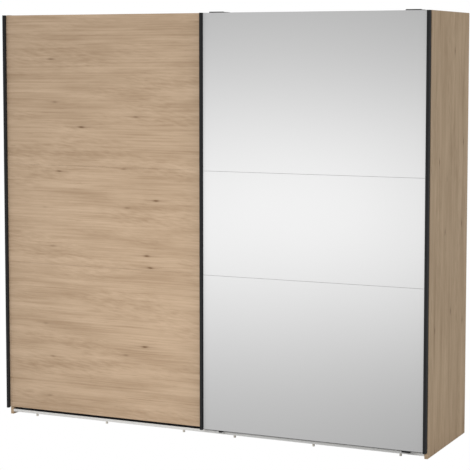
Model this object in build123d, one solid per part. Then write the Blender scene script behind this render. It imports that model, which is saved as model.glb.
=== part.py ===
"""Sliding door wardrobe: a two-bay cabinet with a wooden door and a mirrored door.

Both doors hang from wheels in a double top track and are steered by fingers in a double
channel at the foot. The mirrored door runs in front of the wooden one. Millimetres, +Z up,
the doors face -Y, and the origin is on the floor at the centre of the outline.
"""
from build123d import *
import os

# ---------------------------------------------------------------- driving dimensions
overall_width = 2180
overall_depth = 610
height = 1970
board = 15                     # thickness of every cabinet board
door_reach = 54                # how far the doors stand ahead of the cabinet's front edges
door_overhang = 7.5            # how far each closed door laps past the cabinet's side
door_overlap = 20              # how far the closed doors lap over each other
door_bottom = 39.5             # boards and mirrors, between the handles
door_top = 1968.5
door_depth = 25                # handle profile, front to back
door_gap = 2                   # air between the doors, and behind the rear one
infill = 10                    # thickness of the board or the mirror between the handles
wood_step = 15                 # how far the wood lies behind its handles' front
mirror_step = 7.5              # the same for the mirror
handle_bottom = 34.5
handle_top = 1969
handle_width = 13
handle_wall = 2
handle_corner = 0.7
wood_seam = 0.4                # open joint between two fields of the wooden door
mirror_seam = 1                # the same in the mirrored door
glass = 4

# ---------------------------------------------------------------- worked out
door_width = (overall_width + door_overlap) / 2
door_height = door_top - door_bottom
door_travel = overall_width - door_width
front = -overall_depth / 2
back = overall_depth / 2
edge = front + door_reach                      # front edges of the cabinet boards
side_out = overall_width / 2 - door_overhang
side_in = side_out - board
seams = [door_bottom + door_height * part / 8 for part in (3, 5)]
fields = [(door_bottom, seams[0]), (seams[0], seams[1]), (seams[1], door_top)]
field_names = ["bottom", "middle", "top"]
front_door_face = front
rear_door_face = edge - door_gap - door_depth
wood_left = -overall_width / 2
mirror_left = overall_width / 2 - door_width

# boards inside the cabinet
floor_gap = 44                                 # under the bottom board
floor_top = floor_gap + board
roof_top = 1912
roof_under = roof_top - board
back_thick = 3
back_inset = 10
back_face = back - back_inset - back_thick     # front of the back boards
groove_depth = 7
shelf_height = 1620
shelf_front = edge + 25
shelf_back = back_face - 30
rail_height = 1562
rail_radius = 12.5
rail_middle = (edge + back_face) / 2

# top track: one lane for each door
lane_near = edge + 20
lane_far = edge + 50
lane_top = 1930
lane_wall = 3
track_sheet = 2
track_back = edge + 67
wheel_rolling = 14
wheel_radius = 16
wheel_width = 8
wheel_air = 0.2
axle_radius = 3
bore_radius = 3.05
axle_height = lane_top + wheel_rolling + wheel_air
carriage_half = 34
carriage_inset = 45
carriage_over = 1969.9                         # underside of the sheet that passes over the rear door
hanger_sheet = 2
hanger_near = (edge + 10, edge + 12)
hanger_far = (edge + 40, edge + 42)
stop_half = 4
stop_thick = 7

# guide channel at the foot
channel_bottom = 12
channel_top = 24.7
guide_inset = 78
guide_half = 19
guide_slim = 7                                 # half the width of the front door's inner guide
glide_radius = 5.5
glide_x = [-934, -541, -124, 141, 537, 955]

screw_head = 3.5
screw_shank = 2

body = {}


# ---------------------------------------------------------------- helpers
def block(x, y, z):
    """A box between two corners, each axis given as (low, high)."""
    spans = (x, y, z)
    middle = [(low + high) / 2 for low, high in spans]
    size = [high - low for low, high in spans]
    return Pos(*middle) * Box(*size)


def rod(start, direction, radius, length):
    """A cylinder that starts at a point and runs along a direction."""
    place = Plane(origin=start, z_dir=direction).location
    flat = (Align.CENTER, Align.CENTER, Align.MIN)
    return place * Cylinder(radius, length, align=flat)


def mirrored(value):
    return (-value, value)


def group(solids):
    """Separate solids kept together in one node."""
    return Compound([piece for shape in solids for piece in shape.solids()])


def screw(seat, direction, length, head_height=1.6):
    """Pan-head screw: its head's underside sits at seat, and its shank runs along direction."""
    up = [-step for step in direction]
    shank = rod(seat, direction, screw_shank, length)
    return rod(seat, up, screw_head, head_height) + shank


def screw_hole(seat, direction, length):
    return rod(seat, direction, screw_shank, length)


def wedge_free(points, z_low, z_high):
    """A closed outline in plan, carried up from z_low to z_high."""
    face = make_face(Polyline(*points, close=True))
    return Pos(0, 0, z_low) * extrude(face, z_high - z_low)


# ---------------------------------------------------------------- cabinet fittings' places
track_screw_x = [-950, -570, -190, 190, 570, 950]
track_screws = [((x, edge + 35, roof_top + track_sheet), (0, 0, -1), 12) for x in track_screw_x]
channel_screws = [((x, edge + 42, floor_gap - 2), (0, 0, 1), 12) for x in track_screw_x]
bracket_x = (-800, 800)
bracket_screws = [((x + dx, back - 35, roof_top + 2), (0, 0, -1), 12)
                  for x in bracket_x for dx in (-10, 10)]
socket_walls = [(-side_in, 1), (-board / 2, -1), (board / 2, 1), (side_in, -1)]
socket_screws = [((x + way * 3, rail_middle + dy, rail_height + 17), (-way, 0, 0), 10)
                 for x, way in socket_walls for dy in (-10, 10)]
pin_rows = (shelf_front + 40, shelf_back - 40)
shelf_pins = [((x - way * 8, y, shelf_height - 2.5), (way, 0, 0))
              for x, way in socket_walls for y in pin_rows if abs(x) > board]
centre_pins = [((-16, y, shelf_height - 2.5), (1, 0, 0)) for y in pin_rows]
cam_y = (edge + 80, back_face - 60)
cam_spots = [(way, y, under) for way in (-1, 1) for y in cam_y for under in (roof_under, floor_gap)]


def cam_bolt(way, y, under):
    """Bolt from the side board into the end of a top or bottom board."""
    return rod((way * (side_in + 9), y, under + board / 2), (-way, 0, 0), 3.5, 38)


def cam_lock(way, y, under):
    """Turned lock in a round pocket in the board's underside, holding the bolt's end."""
    return rod((way * (side_in - 25 - 7.5), y, under), (0, 0, 1), 7.5, 12)


# ---------------------------------------------------------------- cabinet boards
def side_board(way):
    panel = block(sorted((way * side_in, way * side_out)), (edge, back), (0, height))
    groove = block(sorted((way * (side_in - 1), way * (side_in + groove_depth))),
                   (back_face, back_face + back_thick), (20, roof_top))
    panel -= groove
    for spot in cam_spots:
        if spot[0] == way:
            panel -= cam_bolt(*spot)
    for start, direction in shelf_pins:
        if start[0] * way > 0:
            panel -= rod(start, direction, 2.5, 16)
    for seat, direction, length in socket_screws:
        if seat[0] * way > side_in - 10:
            panel -= screw_hole(seat, direction, length)
    return panel


def centre_board():
    panel = block(mirrored(board / 2), (edge + 2, back_face), (floor_top, roof_under))
    for start, direction in centre_pins:
        panel -= rod(start, direction, 2.5, 32)
    for seat, direction, length in socket_screws:
        if abs(seat[0]) < board:
            panel -= screw_hole(seat, direction, length)
    return panel


def flat_board(low, screws):
    """Top or bottom board, with its lock pockets and screw holes."""
    panel = block(mirrored(side_in), (edge, back_face), (low, low + board))
    for spot in cam_spots:
        if spot[2] == low:
            panel -= cam_bolt(*spot)
            panel -= cam_lock(*spot)
    for seat, direction, length in screws:
        panel -= screw_hole(seat, direction, length)
    return panel


def back_board(x_low, x_high):
    return block((x_low, x_high), (back_face, back_face + back_thick), (20, roof_top))


def back_strip(x):
    """Plastic strip of H section that joins two back boards."""
    span = (floor_top + 0.5, roof_under - 0.5)
    web = block((x - 0.5, x + 0.5), (back_face - 1, back_face + back_thick + 1), span)
    flange_front = block((x - 10, x + 10), (back_face - 1, back_face), span)
    flange_back = block((x - 10, x + 10), (back_face + back_thick, back_face + back_thick + 1), span)
    return web + flange_front + flange_back


def shelf(way):
    span = sorted((way * (board / 2 + 1), way * (side_in - 1)))
    return block(span, (shelf_front, shelf_back), (shelf_height, shelf_height + board))


def hanging_rail(way):
    span = sorted((way * (board / 2 + 4), way * (side_in - 4)))
    tube = rod((span[0], rail_middle, rail_height), (1, 0, 0), rail_radius, span[1] - span[0])
    return tube - rod((span[0], rail_middle, rail_height), (1, 0, 0), rail_radius - 1.2, span[1] - span[0])


def rail_socket(x, way):
    """Cup screwed to a wall, which carries one end of a hanging rail."""
    plate = rod((x, rail_middle, rail_height), (way, 0, 0), 24, 3)
    cup = rod((x, rail_middle, rail_height), (way, 0, 0), 15.5, 16)
    bore = rod((x + way * 4, rail_middle, rail_height), (way, 0, 0), rail_radius, 13)
    socket = plate + cup - bore
    for seat, direction, length in socket_screws:
        if abs(seat[0] - x) < 5:
            socket -= screw_hole(seat, direction, length)
    return socket


# ---------------------------------------------------------------- track, channel and feet
def top_track():
    low = roof_top + track_sheet
    track = block(mirrored(side_in), (edge + 3, track_back), (roof_top, low))
    for lane in (lane_near, lane_far):
        wall = (lane - lane_wall / 2, lane + lane_wall / 2)
        track += block(mirrored(side_in), wall, (low, lane_top))
    for lip in (edge + 3, track_back - track_sheet):
        track += block(mirrored(side_in), (lip, lip + track_sheet), (low, 1922))
    for seat, direction, length in track_screws:
        track -= screw_hole((seat[0], seat[1], seat[2] + 1), direction, length)
    return track


def track_stop(way, hanger_y):
    """Block at a lane's end, in line with the hanger plate that it stops."""
    span = sorted((way * (side_in - stop_thick), way * side_in))
    return block(span, (hanger_y - stop_half, hanger_y + stop_half), (roof_top + track_sheet, 1952))


def stop_buffer(way, hanger_y):
    """Rubber pad that a carriage all but touches with its door at the end of its travel."""
    reach = overall_width / 2 - carriage_inset + 0.8
    start = side_in - stop_thick
    return rod((way * start, hanger_y, 1943), (-way, 0, 0), stop_half - 0.2, start - reach)


def guide_channel():
    """Two upward-open grooves with a rear wall that reaches up to the bottom board."""
    low = channel_bottom + 2
    channel = block(mirrored(side_in), (edge + 2.5, edge + 27.5), (channel_bottom, low))
    for wall in ((2.5, 4), (14, 16)):
        channel += block(mirrored(side_in), (edge + wall[0], edge + wall[1]), (low, channel_top))
    channel += block(mirrored(side_in), (edge + 25.5, edge + 27.5), (low, floor_gap))
    channel += block(mirrored(side_in), (edge + 27.5, edge + 52), (floor_gap - 2, floor_gap))
    for x in glide_x:
        channel -= rod((x, edge + 9, channel_bottom), (0, 0, 1), 3, 2)
    for seat, direction, length in channel_screws:
        channel -= screw_hole(seat, direction, length)
    return channel


def glide(x):
    """Round foot with a stem in the channel's base."""
    foot = rod((x, edge + 9, 0), (0, 0, 1), glide_radius, channel_bottom)
    foot = chamfer(foot.edges().group_by(Axis.Z)[0], 1)
    return foot + rod((x, edge + 9, channel_bottom), (0, 0, 1), 3, 2)


def wall_bracket(x):
    """Angle on the top board that holds the cabinet back to a wall."""
    foot = block((x - 20, x + 20), (back - 53, back), (roof_top, roof_top + 2))
    upright = block((x - 20, x + 20), (back - 2, back), (roof_top, roof_top + 50))
    angle = foot + upright - rod((x, back - 3, roof_top + 30), (0, 1, 0), 2.75, 4)
    for seat, direction, length in bracket_screws:
        angle -= screw_hole(seat, direction, length)
    return angle


# ---------------------------------------------------------------- door parts
def handle_outline(outer, way, face, step):
    """Plan of a handle profile: a grip ahead of the infill and a flange beside it."""
    inner = outer - way * handle_width
    groove = inner + way * 1.5
    flank = 1
    hollow = (face + step / 3, face + step * 0.8)
    return [
        (outer, face + door_depth), (outer, face + handle_corner),
        (outer - way * handle_corner, face), (inner + way * handle_corner, face),
        (inner, face + handle_corner), (inner, hollow[0]), (groove, hollow[0] + flank),
        (groove, hollow[1] - flank), (inner, hollow[1]), (inner, face + step),
        (outer - way * handle_wall, face + step), (outer - way * handle_wall, face + door_depth),
    ]


def handle(outer, way, face, step):
    """Hollow aluminium handle profile, between its end caps."""
    low = handle_bottom + handle_wall
    high = handle_top - handle_wall
    profile = wedge_free(handle_outline(outer, way, face, step), low, high)
    middle = outer - way * handle_width / 2
    return profile - block((middle - 2.5, middle + 2.5),
                           (face + handle_wall, face + step - handle_wall), (low, high))


def end_caps(outer, way, face, step):
    outline = handle_outline(outer, way, face, step)
    return [wedge_free(outline, low, low + handle_wall)
            for low in (handle_bottom, handle_top - handle_wall)]


def field_span(field, seam):
    """A field's lower and upper edge, with half a joint taken off where another field follows."""
    low, high = field
    low += seam / 2 if low > door_bottom else 0
    high -= seam / 2 if high < door_top else 0
    return low, high


def field_board(left, y_low, y_high, field, seam, spline_half):
    """One field of a door, with a groove for the spline in each edge that meets another field."""
    low, high = field_span(field, seam)
    span = (left + handle_wall, left + door_width - handle_wall)
    panel = block(span, (y_low, y_high), (low, high))
    middle = (y_low + y_high) / 2
    for height_of_seam in seams:
        panel -= block((span[0], span[1]), (middle - spline_half, middle + spline_half),
                       (height_of_seam - 7, height_of_seam + 7))
    return panel


def splines(left, y_low, y_high, spline_half):
    """Loose tongues that keep the fields of a door in line."""
    span = (left + handle_wall, left + door_width - handle_wall)
    middle = (y_low + y_high) / 2
    return group([block(span, (middle - spline_half, middle + spline_half), (z - 7, z + 7))
                  for z in seams])


def carriage_centres(left):
    inset = carriage_inset + carriage_half
    return (left + inset, left + door_width - inset)


def guide_centres(left):
    return (left + guide_inset + guide_half, left + door_width - guide_inset - guide_half)


def carriage_sheet(centre, plate, hanger, low, shoulder, sheet_top):
    """Bent sheet: a plate on the door, a shoulder over the top and a hanger that carries the axle."""
    span = (centre - carriage_half, centre + carriage_half)
    arm = block(span, plate, (low, shoulder))
    arm += block(span, (plate[0], hanger[1]), (sheet_top, shoulder))
    arm += block(span, hanger, (axle_height - 9, shoulder))
    arm -= rod((centre, hanger[0] - 1, axle_height), (0, 1, 0), axle_radius, 4)
    return arm


def axle(centre, hanger):
    """Riveted pin with a collar inside the wheel and a head outside it."""
    pin = rod((centre, hanger[0], axle_height), (0, 1, 0), axle_radius, 14.3)
    rivet = rod((centre, hanger[0] - 1, axle_height), (0, 1, 0), 4.5, 1)
    collar = rod((centre, hanger[1], axle_height), (0, 1, 0), 5, 3.7)
    head = rod((centre, hanger[0] + 14.3, axle_height), (0, 1, 0), 5.5, 1.7)
    return pin + rivet + collar + head


def wheel(centre, lane):
    """Grooved nylon wheel that runs on a lane's wall."""
    half = wheel_width / 2
    profile = [
        (bore_radius, -half), (wheel_radius, -half), (wheel_radius, -half + 0.8),
        (wheel_rolling, -lane_wall / 2 - 0.4), (wheel_rolling, lane_wall / 2 + 0.4),
        (wheel_radius, half - 0.8), (wheel_radius, half), (bore_radius, half),
    ]
    face = make_face(Polyline(*[(x, y, 0) for x, y in profile], close=True))
    return Pos(centre, lane, axle_height) * revolve(face, Axis.Y)


def guide(centre, half, plate, arm_low, arm_high, finger):
    """Bottom guide: a plate on the door's back, an arm and a finger in its groove."""
    span = (centre - half, centre + half)
    arm = block(span, plate, (arm_low, 70))
    arm += block(span, (plate[0], finger[1]), (arm_low, arm_high))
    tip = (centre - half + 2, centre + half - 2)
    return arm + block(tip, finger, (channel_bottom + 4, arm_low))


def guide_seats(centre, half, rear):
    """Two screws side by side, or one above the other where the guide is slim."""
    if half > 15:
        return [(centre - 13, rear, 58), (centre + 13, rear, 58)]
    return [(centre, rear, 52), (centre, rear, 64)]


def door_screws(seats, direction, length):
    return [(seat, direction, length) for seat in seats]


# ---------------------------------------------------------------- build the cabinet
def build_cabinet():
    body["side_panel_left"] = side_board(-1)
    body["side_panel_right"] = side_board(1)
    body["centre_partition"] = centre_board()
    body["top_panel"] = flat_board(roof_under, track_screws + bracket_screws)
    body["bottom_panel"] = flat_board(floor_gap, channel_screws)
    joint_x = side_in / 2
    reach = side_in + groove_depth
    body["back_board_outer_left"] = back_board(-reach, -joint_x - 0.5)
    body["back_board_inner_left"] = back_board(-joint_x + 0.5, -0.5)
    body["back_board_inner_right"] = back_board(0.5, joint_x - 0.5)
    body["back_board_outer_right"] = back_board(joint_x + 0.5, reach)
    body["back_joint_strips"] = group([back_strip(-joint_x), back_strip(joint_x)])
    body["hat_shelf_left"] = shelf(-1)
    body["hat_shelf_right"] = shelf(1)
    pins = [rod(start, direction, 2.5, 16) for start, direction in shelf_pins]
    pins += [rod(start, direction, 2.5, 32) for start, direction in centre_pins]
    body["shelf_pins"] = group(pins)
    body["hanging_rail_left"] = hanging_rail(-1)
    body["hanging_rail_right"] = hanging_rail(1)
    body["hanging_rail_sockets"] = group([rail_socket(x, way) for x, way in socket_walls])
    body["top_track"] = top_track()
    hangers = (sum(hanger_near) / 2, sum(hanger_far) / 2)
    body["track_end_stops"] = group([track_stop(way, y) for way in (-1, 1) for y in hangers])
    body["stop_buffers"] = group([stop_buffer(way, y) for way in (-1, 1) for y in hangers])
    body["bottom_front_trim"] = block(mirrored(side_in), (edge + 0.5, edge + 2.5),
                                      (channel_bottom, channel_top + 0.5))
    body["bottom_guide_channel"] = guide_channel()
    body["front_glides"] = group([glide(x) for x in glide_x])
    body["rear_plinth_board"] = block(mirrored(side_in), (back_face - 22, back_face - 7), (0, floor_gap))
    body["centre_plinth_board"] = block(mirrored(board / 2), (edge + 60, back_face - 22), (0, floor_gap))
    body["cam_bolts"] = group([cam_bolt(*spot) - cam_lock(*spot) for spot in cam_spots])
    body["cam_locks"] = group([cam_lock(*spot) for spot in cam_spots])
    body["wall_brackets"] = group([wall_bracket(x) for x in bracket_x])
    screws = track_screws + channel_screws + bracket_screws + socket_screws
    body["cabinet_screws"] = group([screw(*place) for place in screws])


# ---------------------------------------------------------------- build a door
def build_handles(name, left, face, step):
    right = left + door_width
    body[f"{name}_handle_left"] = handle(left, -1, face, step)
    body[f"{name}_handle_right"] = handle(right, 1, face, step)
    body[f"{name}_end_caps"] = group(end_caps(left, -1, face, step) + end_caps(right, 1, face, step))


def build_running_gear(name, left, plate, hanger, sheet, guide_part, head_height, halves):
    """Carriages, axles, guides and their screws. The plates lie on the door's back."""
    low, shoulder, sheet_top = sheet
    centres = carriage_centres(left)
    body[f"{name}_carriages"] = group([carriage_sheet(c, plate, hanger, low, shoulder, sheet_top)
                                       for c in centres])
    body[f"{name}_axles"] = group([axle(c, hanger) for c in centres])
    guides = guide_centres(left)
    arm_low, arm_high, finger, guide_plate = guide_part
    body[f"{name}_bottom_guides"] = group([guide(c, half, guide_plate, arm_low, arm_high, finger)
                                           for c, half in zip(guides, halves)])
    seats = [(c + dx, plate[1], low + 12) for c in centres for dx in (-24, 24)]
    holes = door_screws(seats, (0, -1, 0), 5)
    seats = [seat for c, half in zip(guides, halves) for seat in guide_seats(c, half, guide_plate[1])]
    holes += door_screws(seats, (0, -1, 0), 5)
    for part_name in (f"{name}_carriages", f"{name}_bottom_guides"):
        for place in holes:
            body[part_name] -= screw_hole(*place)
    body[f"{name}_screws"] = group([screw(*place, head_height) for place in holes])
    return holes


def height_screws(centres, y, seat):
    """Upright screws beside the axle, with their heads on the carriage's shoulder."""
    return [((c + dx, y, seat), (0, 0, -1), 9) for c in centres for dx in (-25, 25)]


def build_wood_door():
    name = "wood_door"
    left = wood_left
    face = rear_door_face
    rear = face + door_depth
    build_handles(name, left, face, wood_step)
    plate = (rear, rear + hanger_sheet)
    hanger = hanger_near
    pocket = 1.5
    finger = (edge + 17, edge + 24.5)
    guide_plate = (rear - pocket, rear)
    gear = (32.5, 36, finger, guide_plate)
    sheet = (1924, 1964.5, 1962.5)
    halves = (guide_half, guide_half)
    holes = build_running_gear(name, left, plate, hanger, sheet, gear, 1.2, halves)
    for field, field_name in zip(fields, field_names):
        panel = field_board(left, rear - infill, rear, field, wood_seam, 1.5)
        for place in holes:
            panel -= screw_hole(*place)
        for c in guide_centres(left):
            panel -= block((c - guide_half, c + guide_half), guide_plate, (door_bottom - 1, 70))
        body[f"{name}_panel_{field_name}"] = panel
    body[f"{name}_splines"] = splines(left, rear - infill, rear, 1.5)
    adjust = height_screws(carriage_centres(left), edge + 5, 1964.5)
    for place in adjust:
        body[f"{name}_carriages"] -= screw_hole(*place)
    body[f"{name}_height_screws"] = group([screw(*place) for place in adjust])
    for side, centre in zip(("left", "right"), carriage_centres(left)):
        body[f"{name}_wheel_{side}"] = wheel(centre, lane_near)


def carriage_cover(centre, rear):
    """Low plastic cap on the door's top edge and on the front of a carriage."""
    span = (centre - carriage_half, centre + carriage_half)
    sheet_top = carriage_over + hanger_sheet
    cover_top = sheet_top + 1.4
    wall = block(span, (rear - 2.5, rear), (door_top, cover_top))
    cap = wall + block(span, (rear - 2.5, rear + 12), (sheet_top, cover_top))
    return fillet(cap.edges().filter_by(Axis.X).group_by(Axis.Y)[0].sort_by(Axis.Z)[-1:], 0.8)


def build_mirror_door():
    name = "mirror_door"
    left = mirror_left
    face = front_door_face
    build_handles(name, left, face, mirror_step)
    glass_face = face + mirror_step
    rear = glass_face + infill
    plate = (rear, rear + hanger_sheet)
    hanger = hanger_far
    finger = (edge + 5, edge + 13)
    gear = (27.5, 30.5, finger, plate)
    shoulder = carriage_over + hanger_sheet
    sheet = (1914, shoulder, carriage_over)
    halves = (guide_slim, guide_half)
    holes = build_running_gear(name, left, plate, hanger, sheet, gear, 1.2, halves)
    for field, field_name in zip(fields, field_names):
        panel = field_board(left, glass_face + glass, rear, field, mirror_seam, 1)
        for place in holes:
            panel -= screw_hole(*place)
        body[f"{name}_backing_{field_name}"] = panel
        body[f"{name}_pane_{field_name}"] = block(
            (left + handle_wall, left + door_width - handle_wall),
            (glass_face, glass_face + glass), field_span(field, mirror_seam))
    body[f"{name}_splines"] = splines(left, glass_face + glass, rear, 1)
    body[f"{name}_carriage_covers"] = group([carriage_cover(c, rear) for c in carriage_centres(left)])
    adjust = height_screws(carriage_centres(left), edge + 32, shoulder)
    for place in adjust:
        body[f"{name}_carriages"] -= screw_hole(*place)
    body[f"{name}_height_screws"] = group([screw(*place, 1) for place in adjust])
    for side, centre in zip(("left", "right"), carriage_centres(left)):
        body[f"{name}_wheel_{side}"] = wheel(centre, lane_far)


# ---------------------------------------------------------------- write the parts
build_cabinet()
build_wood_door()
build_mirror_door()
os.makedirs("parts", exist_ok=True)
for node, shape in body.items():
    export_step(shape, f"parts/{node}.step")
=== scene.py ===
"""Looks of a sliding door wardrobe: an oak foil door and a mirrored door in an oak foil cabinet.

Metres, +Z up, the doors face -Y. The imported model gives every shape. This script gives each
board, profile and fitting its finish, and sets up the floor, the light and the camera.
"""
import math

import bpy
import numpy as np
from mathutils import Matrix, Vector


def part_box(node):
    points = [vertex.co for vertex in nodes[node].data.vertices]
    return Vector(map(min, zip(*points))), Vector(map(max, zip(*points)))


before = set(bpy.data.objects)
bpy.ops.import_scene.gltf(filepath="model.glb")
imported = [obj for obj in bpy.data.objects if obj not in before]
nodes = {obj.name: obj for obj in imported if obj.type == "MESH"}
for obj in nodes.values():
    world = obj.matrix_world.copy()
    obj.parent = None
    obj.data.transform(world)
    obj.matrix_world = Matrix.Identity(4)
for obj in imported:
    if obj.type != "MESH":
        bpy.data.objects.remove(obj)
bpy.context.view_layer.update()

X, Y, Z = range(3)


# ---------------------------------------------------------------- shader arithmetic
class Wire:
    """An output socket that takes part in Python arithmetic."""

    def __init__(self, tree, socket):
        self.tree = tree
        self.socket = socket

    def math(self, operation, *values):
        return self.tree.math(operation, self, *values)

    def __add__(self, other):
        return self.math("ADD", other)

    def __mul__(self, other):
        return self.math("MULTIPLY", other)

    def __sub__(self, other):
        return self.math("SUBTRACT", other)

    def __truediv__(self, other):
        return self.math("DIVIDE", other)

    def __rsub__(self, other):
        return self.tree.math("SUBTRACT", other, self)

    __radd__ = __add__
    __rmul__ = __mul__


class Tree:
    """A node tree and the few ways in which this script adds nodes to it."""

    def __init__(self, nodes_and_links):
        self.made = nodes_and_links
        self.made.nodes.clear()

    def node(self, kind, settings=None, sockets=None, out=0):
        """Adds a node: first its settings, then the values or wires of its sockets."""
        node = self.made.nodes.new(kind)
        for name, value in (settings or {}).items():
            setattr(node, name, value)
        for name, value in (sockets or {}).items():
            if isinstance(value, Wire):
                self.made.links.new(value.socket, node.inputs[name])
            else:
                node.inputs[name].default_value = value
        return Wire(self, node.outputs[out]) if node.outputs else node

    def math(self, operation, *values):
        return self.node("ShaderNodeMath", {"operation": operation}, dict(enumerate(values)))

    def place(self):
        """Object coordinates as three wires."""
        point = self.node("ShaderNodeTexCoord", out="Object")
        return [self.part(point, axis) for axis in (X, Y, Z)]

    def join(self, x, y, z=0.0):
        return self.node("ShaderNodeCombineXYZ", None, {0: x, 1: y, 2: z})

    def part(self, vector, axis):
        return self.node("ShaderNodeSeparateXYZ", None, {0: vector}, axis)

    def noise(self, point, detail=3.0, rough=0.5):
        """Fractal noise, about 0.5 on average, at a point that is already scaled."""
        sockets = {"Vector": point, "Scale": 1.0, "Detail": detail, "Roughness": rough}
        return self.node("ShaderNodeTexNoise", None, sockets)

    def ramp(self, value, low, high):
        """Eases from 0 at low to 1 at high."""
        settings = {"interpolation_type": "SMOOTHSTEP"}
        sockets = {"Value": value, "From Min": low, "From Max": high}
        return self.node("ShaderNodeMapRange", settings, sockets)

    def bump(self, strength, depth, height):
        """A normal for a relief of the given depth in metres."""
        sockets = {"Strength": strength, "Distance": depth, "Height": height}
        return self.node("ShaderNodeBump", None, sockets)

    def bell(self, value, centre, width):
        """1 at the centre, and down to 0 on both sides of it."""
        offset = (value - centre) / width
        return self.math("EXPONENT", offset * offset * -1.0)

    def mix(self, factor, first, second, way="MIX"):
        """Mixes two colours."""
        settings = {"data_type": "RGBA", "blend_type": way}
        return self.node("ShaderNodeMix", settings, {0: factor, 6: first, 7: second}, 2)


def colour(red, green, blue):
    """A colour as screens give it, 0 to 255, turned to the renderer's linear light."""
    return tuple(((part / 255 + 0.055) / 1.055) ** 2.4 for part in (red, green, blue)) + (1.0,)


def finish(name, paint, constants):
    """Makes a material. paint(tree) gives the sockets that vary, and constants gives the rest."""
    material = bpy.data.materials.new(name)
    material.use_nodes = True
    tree = Tree(material.node_tree)
    shader = tree.node("ShaderNodeBsdfPrincipled", None, {**constants, **paint(tree)})
    tree.node("ShaderNodeOutputMaterial", None, {"Surface": shader})
    return material


# ---------------------------------------------------------------- wood
OAK_LIGHT = colour(205, 179, 151)
OAK_DARK = colour(168, 141, 113)
OAK_KNOT = colour(120, 92, 64)
OAK_PORE = colour(146, 119, 87)
OAK_UPRIGHT = (0.96, 0.96, 0.90, 1.0)      # the upright boards are a little darker and warmer

KNOTS_ALONG = 2.4              # knots in a metre of length and of breadth
KNOTS_ACROSS = 7.0
KNOT_DRIFT = 0.6               # how far a knot follows the wandering grain, in cells
KNOT_NONE = 0.3                # a knot whose random number is under this doesn't show
KNOT_FULL = 0.95               # and one that is over this shows in full
KNOT_HEART = 0.034             # widths of the bell curves, as shares of a knot's cell
KNOT_TAILS = (0.16, 0.026)     # along and across
KNOT_REACH = (0.20, 0.16)
TAIL_STRENGTH = 0.45

SHIFT_ACROSS = 0.37            # how much of a board's shift is across the grain
GRAIN_DRIFT = 0.022            # how far the grain lines wander, in metres
GRAIN_PUSH = 0.006             # and how far a knot pushes them aside
TONE_MIDDLE = 0.46
PATCH_WEIGHT = 1.05
STREAK_WEIGHT = 1.15
STREAK_CALMED = 0.7            # how much of that weight goes where the figure is calm
LINE_WEIGHT = 0.26
FIBRE_WEIGHT = 0.45
CURL_WEIGHT = 0.75
PORE_STRENGTH = 0.5
PORE_DEPTH = 0.0002            # metres
KNOT_STRENGTH = 0.8


def oak_knots(tree, along, across, drift):
    """How strong a knot and its tails are at a point, and how near that point is to a knot.

    Each cell of a scattered pattern has one knot, with a strength of its own. A knot is a
    bell curve that is longer along the grain, and its tails are a long thin one.
    """
    spot_along = along * KNOTS_ALONG + drift * KNOT_DRIFT
    spot_across = across * KNOTS_ACROSS
    cells = {"voronoi_dimensions": "2D"}
    reach = {"Vector": tree.join(spot_along, spot_across), "Scale": 1.0, "Randomness": 1.0}
    heart = tree.node("ShaderNodeTexVoronoi", cells, reach, "Position")
    tag = tree.node("ShaderNodeTexVoronoi", cells, reach, "Color")
    number = tree.node("ShaderNodeSeparateColor", None, {0: tag})
    strength = tree.ramp(number, KNOT_NONE, KNOT_FULL)
    heart_along = tree.part(heart, X)
    heart_across = tree.part(heart, Y)

    def spread(width_along, width_across):
        bell_along = tree.bell(spot_along, heart_along, width_along)
        return bell_along * tree.bell(spot_across, heart_across, width_across)

    core = spread(KNOT_HEART, KNOT_HEART)
    tails = spread(*KNOT_TAILS)
    near = spread(*KNOT_REACH)
    return (core + tails * TAIL_STRENGTH) * strength, near * strength


def grain(tree, along, across, swells, slice_at, detail, rough=0.5):
    """Noise that is stretched along the grain, with so many swells a metre along and across.

    slice_at picks one layer of the solid noise, so that no two figures are alike.
    """
    swells_along, swells_across = swells
    point = tree.join(along * swells_along, across * swells_across, slice_at)
    return tree.noise(point, detail, rough)


def oak_figure(tree, along, across):
    """How dark the figure is from 0 to 1, how strong a knot is, and how strong a pore is.

    Knots push the grain lines aside. Patches, streaks, lines and fibres are noise that is
    stretched along. The streaks fade in some places, and small curls show there.
    """
    drift = grain(tree, along, across, (1.1, 4.0), 0.0, 2.0) - 0.5
    knot, near = oak_knots(tree, along, across, drift)
    bent = across + drift * GRAIN_DRIFT + near * GRAIN_PUSH
    calm = tree.ramp(grain(tree, along, across, (1.7, 7.0), 13.0, 2.0), 0.42, 0.60)
    patches = grain(tree, along, bent, (2.0, 17.0), 1.0, 3.0, 0.55) - 0.5
    streaks = grain(tree, along, bent, (1.4, 130.0), 3.0, 4.0, 0.65) - 0.5
    lines = tree.ramp(grain(tree, along, bent, (2.6, 75.0), 9.0, 3.0, 0.6), 0.60, 0.72)
    fibres = grain(tree, along, bent, (8.0, 640.0), 7.0, 2.0, 0.6) - 0.5
    curls = tree.noise(tree.join(along * 20.0 + bent * 60.0, bent * 85.0, 5.0), 2.0) - 0.5
    pore = tree.ramp(grain(tree, along, bent, (14.0, 420.0), 11.0, 2.0, 0.7), 0.60, 0.74)
    tone = patches * PATCH_WEIGHT + streaks * (STREAK_WEIGHT - calm * STREAK_CALMED)
    tone = tone + lines * LINE_WEIGHT + fibres * FIBRE_WEIGHT
    tone = tone + curls * calm * CURL_WEIGHT + TONE_MIDDLE
    return tree.ramp(tone, 0.0, 1.0), knot, pore


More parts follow.
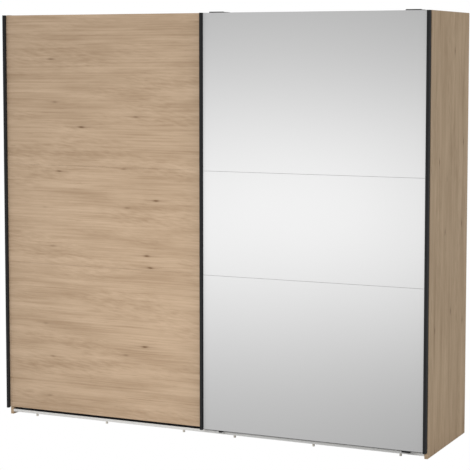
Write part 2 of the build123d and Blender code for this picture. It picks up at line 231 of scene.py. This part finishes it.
def oak_paint(along_axis, across_axis, shift, tint):
    """Oak foil whose grain runs along one axis and is seen across another."""
    def paint(tree):
        place = tree.place()
        along = place[along_axis] + shift
        across = place[across_axis] + shift * SHIFT_ACROSS
        tone, knot, pore = oak_figure(tree, along, across)
        wood = tree.mix(tone, OAK_LIGHT, OAK_DARK)
        wood = tree.mix(pore * PORE_STRENGTH, wood, OAK_PORE)
        wood = tree.mix(knot * KNOT_STRENGTH, wood, OAK_KNOT)
        if tint:
            wood = tree.mix(1.0, wood, tint, "MULTIPLY")
        relief = tree.bump(0.25, PORE_DEPTH, 0.0 - pore)
        return {"Base Color": wood, "Roughness": 0.48 + tone * 0.10, "Normal": relief}
    return paint


def oak(name, along_axis, across_axis, shift, tint=None):
    """Oak foil. The shift takes its figure from another place in the decor."""
    constants = {"Specular IOR Level": 0.35}
    return finish(name, oak_paint(along_axis, across_axis, shift, tint), constants)


COARSE_SPECKS = 90.0           # swells in a metre
FINE_SPECKS = 600.0


def fibreboard(name, base, speck):
    """Pressed fibre: specks of two sizes over a flat brown."""
    def paint(tree):
        x, y, z = tree.place()
        coarse_point = tree.join(x * COARSE_SPECKS, z * COARSE_SPECKS, y * COARSE_SPECKS)
        fine_point = tree.join(x * FINE_SPECKS, z * FINE_SPECKS, y * FINE_SPECKS)
        coarse = tree.noise(coarse_point, 4.0, 0.7)
        fine = tree.noise(fine_point, 2.0, 0.8)
        amount = tree.ramp(coarse * 0.6 + fine * 0.4, 0.35, 0.65)
        return {"Base Color": tree.mix(amount, base, speck), "Roughness": 0.78 + fine * 0.1}
    return finish(name, paint, {"Specular IOR Level": 0.2})


# ---------------------------------------------------------------- metal, plastic and glass
DIE_LINES_ALONG = 1.5          # swells in a metre
DIE_LINES_ACROSS = 1400.0
METAL_CLOUDS = 9.0
PLASTIC_CLOUDS = 14.0
FINE_RELIEF = 0.0001           # metres


def drawn_metal(name, base, dull, axis, rough, metallic=1.0, gloss=0.5):
    """Drawn or rolled metal: fine die lines run along one axis."""
    def paint(tree):
        place = tree.place()
        swells = [DIE_LINES_ALONG if each == axis else DIE_LINES_ACROSS for each in (X, Y, Z)]
        lines = tree.noise(tree.join(*[p * many for p, many in zip(place, swells)]), 2.0, 0.6)
        cloud = tree.noise(tree.join(*[p * METAL_CLOUDS for p in place]), 2.0)
        return {
            "Base Color": tree.mix(lines * 0.6 + cloud * 0.4, base, dull),
            "Roughness": rough - 0.08 + lines * 0.12 + cloud * 0.06,
            "Normal": tree.bump(0.15, FINE_RELIEF, lines),
        }
    return finish(name, paint, {"Metallic": metallic, "Specular IOR Level": gloss})


def grained_plastic(name, base, grain_size, rough):
    """Moulded plastic with a fine spark-eroded grain."""
    def paint(tree):
        place = tree.place()
        sparks = tree.noise(tree.join(*[p / grain_size for p in place]), 2.0, 0.6)
        cloud = tree.noise(tree.join(*[p * PLASTIC_CLOUDS for p in place]), 2.0)
        worn = tuple(min(1.0, part * 1.25 + 0.004) for part in base[:3]) + (1.0,)
        return {
            "Base Color": tree.mix(cloud, base, worn),
            "Roughness": rough - 0.05 + sparks * 0.1,
            "Normal": tree.bump(0.2, FINE_RELIEF, sparks),
        }
    return finish(name, paint, {"Specular IOR Level": 0.4})


MIRROR_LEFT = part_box("mirror_door_handle_left")[1].x      # where the handles cover the mirror
MIRROR_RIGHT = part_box("mirror_door_handle_right")[0].x
# painted shade: the mirror's base colour darkens towards near black within a few millimetres of
# the handles, more beside the left one
SHADE_REACH = 0.007            # how far a handle's shade goes, in metres
SHADE_LEFT = 0.45
SHADE_RIGHT = 0.12
SHADE_MOST = 0.6
SHADE_COLOUR = (0.03, 0.03, 0.03, 1.0)


def silvered_glass(name):
    """Mirror: bright silver, with a soft painted shade in the base colour along the handles."""
    def paint(tree):
        x, _, z = tree.place()
        cloud = tree.noise(tree.join(x * 1.7, z * 1.3), 1.0)
        near_left = tree.math("EXPONENT", (MIRROR_LEFT - x) / SHADE_REACH)
        near_right = tree.math("EXPONENT", (x - MIRROR_RIGHT) / SHADE_REACH)
        shade = tree.math("MINIMUM", near_left * SHADE_LEFT + near_right * SHADE_RIGHT, SHADE_MOST)
        silver = tree.mix(cloud, colour(250, 250, 250), colour(248, 248, 248))
        return {
            "Base Color": tree.mix(shade, silver, SHADE_COLOUR),
            "Roughness": 0.11 + cloud * 0.02,
        }
    return finish(name, paint, {"Metallic": 1.0})


SPANGLES = 130.0               # in a metre


def zinc_plate(name):
    """Zinc-plated sheet: faint spangle, a little yellow."""
    def paint(tree):
        sockets = {"Vector": tree.join(*tree.place()), "Scale": SPANGLES}
        spangle = tree.node("ShaderNodeTexVoronoi", None, sockets, "Color")
        value = tree.node("ShaderNodeSeparateColor", None, {0: spangle})
        return {
            "Base Color": tree.mix(value, colour(196, 198, 198), colour(216, 214, 206)),
            "Roughness": 0.34 + value * 0.1,
        }
    return finish(name, paint, {"Metallic": 1.0})


# ---------------------------------------------------------------- which node has which finish
def dress(material, *names):
    """Gives a finish to whole nodes of the frame."""
    for name in names:
        node = nodes[name]
        for slot in node.material_slots:
            slot.material = material


def door_parts(part):
    """The same node of both doors."""
    return [f"{door}_door_{part}" for door in ("wood", "mirror")]


def left_and_right(*names):
    return [f"{name}_{side}" for name in names for side in ("left", "right")]


def dress_boards():
    fields = ("bottom", "middle", "top")
    dress(oak("door oak", X, Z, 4.0), *[f"wood_door_panel_{field}" for field in fields])
    upright = oak("upright oak", Z, Y, 9.0, OAK_UPRIGHT)
    dress(upright, *left_and_right("side_panel"), "centre_partition")
    dress(oak("level oak", X, Y, 2.0), "top_panel", "bottom_panel", *left_and_right("hat_shelf"))
    dress(oak("plinth oak", X, Z, 6.0), "rear_plinth_board", "centre_plinth_board")
    back = fibreboard("back hardboard", colour(176, 158, 132), colour(160, 140, 114))
    dress(back, *left_and_right("back_board_outer", "back_board_inner"))
    backing = fibreboard("mirror backing board", colour(112, 92, 72), colour(92, 74, 56))
    dress(backing, *[f"mirror_door_backing_{field}" for field in fields])
    dress(silvered_glass("mirror glass"), *[f"mirror_door_pane_{field}" for field in fields])


def dress_metal():
    ink, soot = colour(34, 35, 36), colour(40, 41, 42)
    black = drawn_metal("black anodised profile", ink, soot, Z, 0.5, metallic=0.0, gloss=0.28)
    dress(black, *left_and_right(*door_parts("handle")))
    coal, ash = colour(38, 39, 40), colour(46, 47, 48)
    sheet = drawn_metal("black lacquered sheet", coal, ash, X, 0.4, metallic=0.0)
    dress(sheet, "mirror_door_carriages")
    silver, dull_silver = colour(226, 227, 228), colour(214, 215, 216)
    pale = drawn_metal("natural anodised aluminium", silver, dull_silver, X, 0.4)
    dress(pale, "top_track")
    white, dull_white = colour(236, 236, 234), colour(228, 228, 226)
    satin = drawn_metal("satin trim", white, dull_white, X, 0.5, metallic=0.1)
    dress(satin, "bottom_front_trim")
    slate, dull_slate = colour(44, 45, 47), colour(52, 53, 55)
    dark = drawn_metal("dark anodised aluminium", slate, dull_slate, X, 0.5, metallic=0.5)
    dress(dark, "bottom_guide_channel")
    chrome = drawn_metal("chromed tube", colour(226, 228, 230), colour(220, 222, 224), X, 0.14)
    dress(chrome, *left_and_right("hanging_rail"))
    dress(zinc_plate("zinc plate"), "wood_door_carriages", "track_end_stops", "wall_brackets")
    steel = drawn_metal("bright steel", colour(206, 206, 204), colour(190, 190, 188), Y, 0.3)
    screws = door_parts("screws") + door_parts("height_screws") + ["cabinet_screws"]
    dress(steel, *screws, *door_parts("axles"), "cam_bolts", "cam_locks", "shelf_pins")


def dress_plastic():
    black = grained_plastic("black plastic", colour(40, 41, 42), 0.0006, 0.5)
    dress(black, *door_parts("end_caps"), *door_parts("bottom_guides"), *door_parts("splines"))
    dress(black, "mirror_door_carriage_covers")
    white = grained_plastic("white plastic", colour(226, 225, 220), 0.0008, 0.45)
    dress(white, "back_joint_strips", "hanging_rail_sockets")
    dress(grained_plastic("pale foot plastic", colour(205, 199, 188), 0.0007, 0.5), "front_glides")
    nylon = grained_plastic("wheel nylon", colour(232, 230, 222), 0.0005, 0.35)
    dress(nylon, *left_and_right(*door_parts("wheel")))
    dress(grained_plastic("buffer rubber", colour(34, 34, 34), 0.0005, 0.8), "stop_buffers")


# ---------------------------------------------------------------- floor, light and camera
WHITE = (1, 1, 1, 1)
FLOOR_REACH = 30.0             # metres each way
FLOOR_LIGHT = 1.0
FLOOR_COLOUR = colour(240, 240, 240)


def floor():
    """A pale floor that stays evenly bright to the camera, as in a shadowless studio."""
    material = bpy.data.materials.new("studio floor")
    material.use_nodes = True
    tree = Tree(material.node_tree)
    seen = tree.node("ShaderNodeLightPath", None, None, "Is Camera Ray")
    bright = tree.node("ShaderNodeEmission", None, {"Color": WHITE, "Strength": FLOOR_LIGHT})
    matt = tree.node("ShaderNodeBsdfDiffuse", None, {"Color": FLOOR_COLOUR})
    surface = tree.node("ShaderNodeMixShader", None, {0: seen, 1: matt, 2: bright})
    tree.node("ShaderNodeOutputMaterial", None, {"Surface": surface})
    mesh = bpy.data.meshes.new("studio_floor")
    signs = ((-1, -1), (1, -1), (1, 1), (-1, 1))
    corners = [(x * FLOOR_REACH, y * FLOOR_REACH, 0) for x, y in signs]
    mesh.from_pydata(corners, [], [(0, 1, 2, 3)])
    mesh.materials.append(material)
    made = bpy.data.objects.new("studio_floor", mesh)
    bpy.context.scene.collection.objects.link(made)
    made.visible_glossy = False


GLOW_CENTRE = -0.097           # height, as a sine, at which the studio is brightest
GLOW_WIDTH = 0.094
GLOW_BASE = 0.425              # how bright it is at other heights
GLOW_PEAK = 0.575              # and how much brighter it is at that one
GLOW_SIDE = -0.405             # the same sideways, with the right as positive
GLOW_SPREAD = 0.195
GLOW_AWAY = 0.55               # how much of the glow is left far from there
AMBIENT = 0.73                 # what matt surfaces get from all around


def studio():
    """White to the camera, soft to matt surfaces, and a bright low band to polished ones.

    The band's brightness is a bell curve of the direction's height, and it fades sideways.
    """
    world = bpy.data.worlds.new("studio")
    bpy.context.scene.world = world
    world.use_nodes = True
    tree = Tree(world.node_tree)
    direction = tree.node("ShaderNodeTexCoord", out="Generated")
    level = tree.part(direction, Z)
    sideways = tree.part(direction, X)
    fade = tree.bell(sideways, GLOW_SIDE, GLOW_SPREAD) * (1.0 - GLOW_AWAY) + GLOW_AWAY
    glow = (tree.bell(level, GLOW_CENTRE, GLOW_WIDTH) * GLOW_PEAK + GLOW_BASE) * fade
    glossy = tree.node("ShaderNodeLightPath", None, None, "Is Glossy Ray")
    camera = tree.node("ShaderNodeLightPath", None, None, "Is Camera Ray")
    soft = glossy * glow + (1.0 - glossy) * AMBIENT
    strength = camera + (1.0 - camera) * soft
    background = tree.node("ShaderNodeBackground", None, {"Color": WHITE, "Strength": strength})
    tree.node("ShaderNodeOutputWorld", None, {"Surface": background})


LAMP_AWAY = 2.2                # metres in front of the cabinet's centre
LAMP_HEIGHT = 0.74
LAMP_SIZE = (1.0, 0.22)
LAMP_POWER = 14.2


def soft_box():
    """A low rectangular lamp that faces the doors, and that polished surfaces don't show."""
    lamp = bpy.data.lights.new("low_front", "AREA")
    lamp.shape = "RECTANGLE"
    lamp.size, lamp.size_y = LAMP_SIZE
    lamp.energy = LAMP_POWER
    made = bpy.data.objects.new("low_front", lamp)
    bpy.context.scene.collection.objects.link(made)
    made.location = (0.0, -LAMP_AWAY, LAMP_HEIGHT)
    made.rotation_euler = (math.radians(90), 0, 0)
    made.visible_glossy = False
    made.visible_camera = False


CAMERA_PLACE = (3.255, -6.922, 1.771)
CAMERA_TURN = 24.985           # to the left of straight ahead
CAMERA_TILT = 4.687            # downwards
CAMERA_LENS = 123.13           # millimetres, on a sensor that is CAMERA_SENSOR wide
CAMERA_SENSOR = 36.0
CAMERA_SHIFT = -0.10           # keeps the upright edges nearly parallel


def camera():
    """The camera stands to the right of the doors, a little under the height of their tops."""
    lens = bpy.data.cameras.new("camera")
    lens.lens = CAMERA_LENS
    lens.sensor_width = CAMERA_SENSOR
    lens.shift_y = CAMERA_SHIFT
    made = bpy.data.objects.new("camera", lens)
    bpy.context.scene.collection.objects.link(made)
    made.location = CAMERA_PLACE
    made.rotation_euler = (math.radians(90 - CAMERA_TILT), 0, math.radians(CAMERA_TURN))
    bpy.context.scene.camera = made


bpy.context.scene.view_settings.view_transform = "Standard"
dress_boards()
dress_metal()
dress_plastic()
floor()
studio()
soft_box()
camera()
